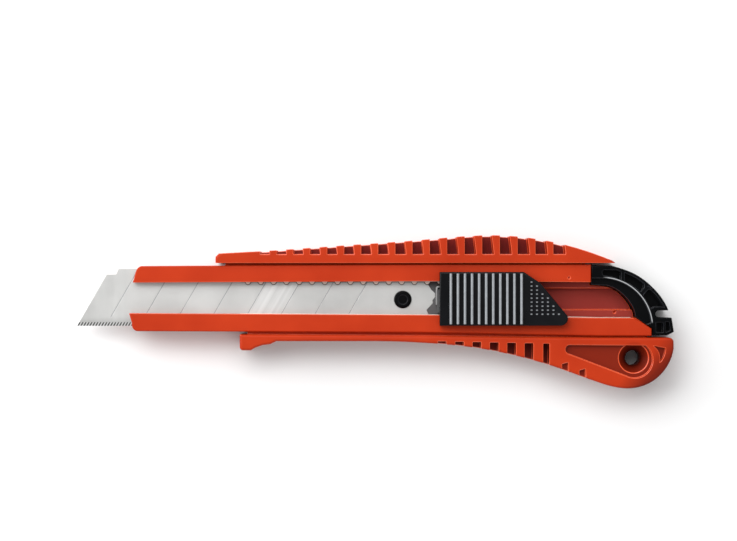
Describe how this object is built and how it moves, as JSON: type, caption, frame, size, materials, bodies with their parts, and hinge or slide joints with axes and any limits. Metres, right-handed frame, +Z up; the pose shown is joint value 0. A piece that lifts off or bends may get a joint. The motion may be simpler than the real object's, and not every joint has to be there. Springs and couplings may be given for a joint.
{
  "type": "snap-off utility knife",
  "caption": "Snap-off utility knife with a ribbed orange-red handle, sliding blade, ridged thumb slider and pull-off black end cap.",
  "frame": {"origin": "centre of the rest box in X and Y, on the table at Z 0", "axes": "+X from the blade's tip to the end cap, +Y from the belly of the grip to its ribbed spine, +Z up through the thumb slider"},
  "size_m": [0.1876, 0.048, 0.0183],
  "materials": {
    "orange_plastic": "satin moulded",
    "black_plastic": "satin moulded",
    "grey_plastic": "matte moulded",
    "blade_steel": "ground",
    "strip_steel": "rolled",
    "spring_steel": "rolled"
  },
  "bodies": {
    "handle": {"handle_body": "orange_plastic", "toothed_strip": "strip_steel", "plain_strip": "strip_steel"},
    "slider": {"thumb_slider": "black_plastic", "blade_carrier": "grey_plastic", "blade_stud": "black_plastic", "snap_blade": "blade_steel", "lock_spring": "spring_steel"},
    "cap": {"end_cap": "black_plastic"}
  },
  "joints": [
    {"name": "blade_slide", "type": "slide", "parent": "handle", "child": "slider", "axis": [1, 0, 0], "range_m": [-0.06448, 0.02015], "deforming": ["lock_spring"]},
    {"name": "end_cap_pull", "type": "slide", "parent": "handle", "child": "cap", "axis": [1, 0, 0], "range_m": [0, 0.03]}
  ]
}
